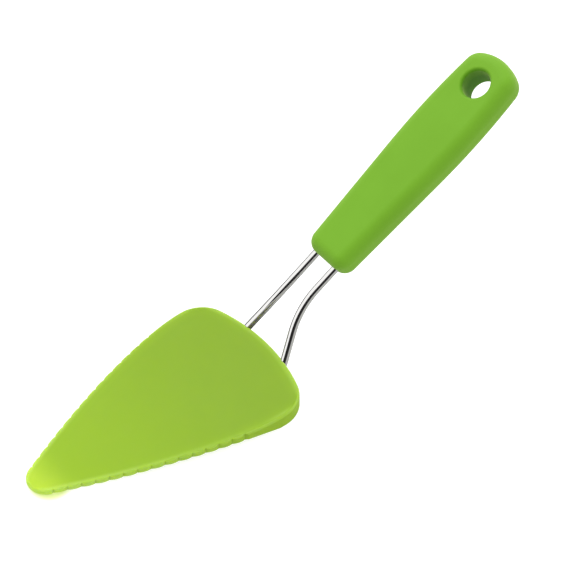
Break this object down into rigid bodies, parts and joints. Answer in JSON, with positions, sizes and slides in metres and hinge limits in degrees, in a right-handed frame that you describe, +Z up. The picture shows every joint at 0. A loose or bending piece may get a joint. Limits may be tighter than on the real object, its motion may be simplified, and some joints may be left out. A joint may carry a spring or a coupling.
{
  "type": "pie server",
  "caption": "Pie server with a toothed, silicone-covered blade, a bent wire neck and a soft handle that has a hanging hole.",
  "frame": {"origin": "middle of the footprint, on the surface that the blade lies on", "axes": "+X from the blade's tip towards the rear end of the handle, +Z up; the part mirrors across the XZ plane"},
  "size_m": [0.2595, 0.0772, 0.1021],
  "materials": {
    "blade_silicone": "translucent satin silicone",
    "blade_plate": "moulded nylon",
    "steel_wire": "polished stainless steel",
    "handle_frame": "moulded plastic",
    "soft_grip": "matte soft-touch rubber"
  },
  "bodies": {
    "root": {"blade_skin": "blade_silicone", "blade_core": "blade_plate", "wire_loop": "steel_wire", "handle_core": "handle_frame", "handle_grip": "soft_grip"}
  },
  "joints": []
}
